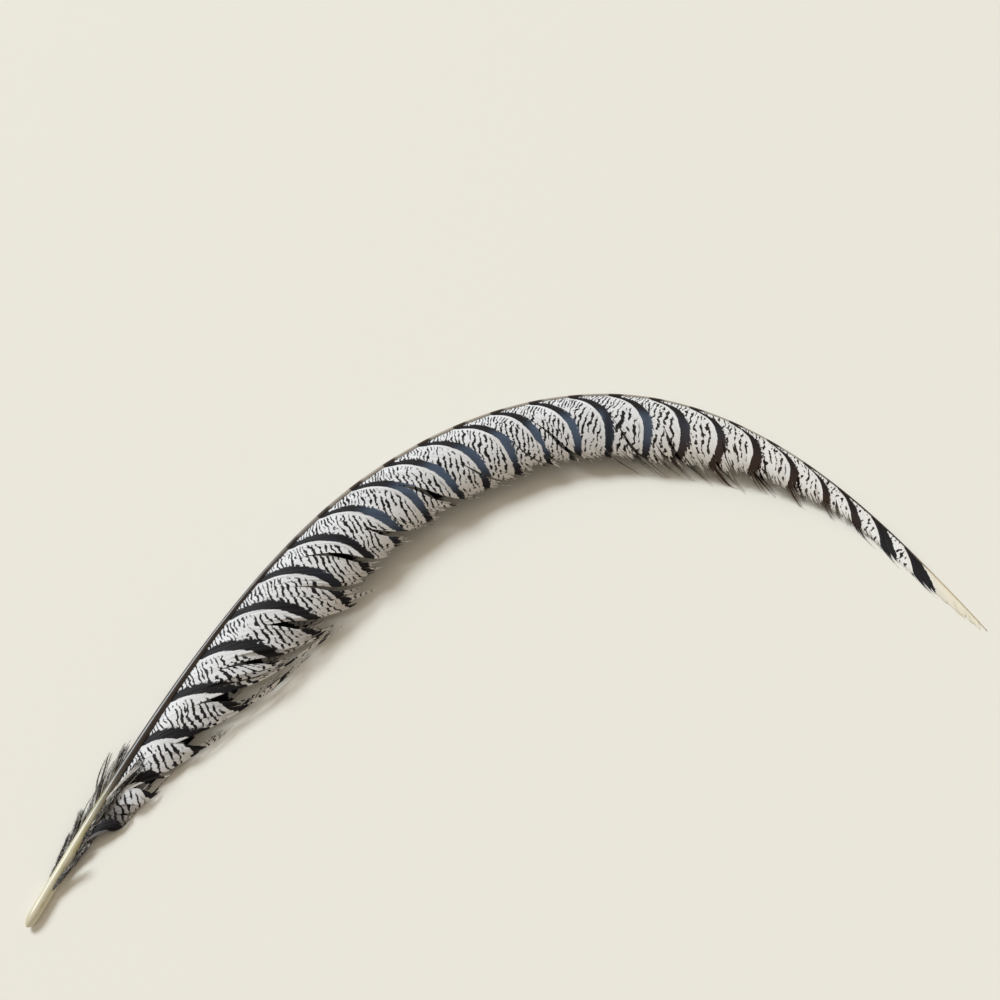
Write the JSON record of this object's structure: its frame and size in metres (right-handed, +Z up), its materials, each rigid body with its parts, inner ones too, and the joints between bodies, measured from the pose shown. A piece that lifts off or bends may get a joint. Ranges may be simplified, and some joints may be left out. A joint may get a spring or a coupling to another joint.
{
  "type": "pheasant tail feather",
  "caption": "Long curved pheasant tail feather, white with black bars and fine vermiculation, lying on its side with its lower vane on the surface",
  "frame": {"origin": "middle of the feather's footprint, on the surface it lies on", "axes": "+X is the longest extent, from the quill's end to the tip; +Z is up and the shortest extent; +Y is towards the outside of the curve, where the feather's back looks"},
  "size_m": [0.342, 0.2288, 0.0197],
  "materials": {
    "shaft": "smooth satin horn, pale at the quill and dark brown along the rachis",
    "vane": "fine matt barbs, silvery white barred with black",
    "down": "soft loose barbs, dark brown with pale streaks"
  },
  "bodies": {
    "root": {"shaft": "shaft", "upper_vane": "vane", "lower_vane": "vane", "upper_down": "down", "lower_down": "down"}
  },
  "joints": []
}
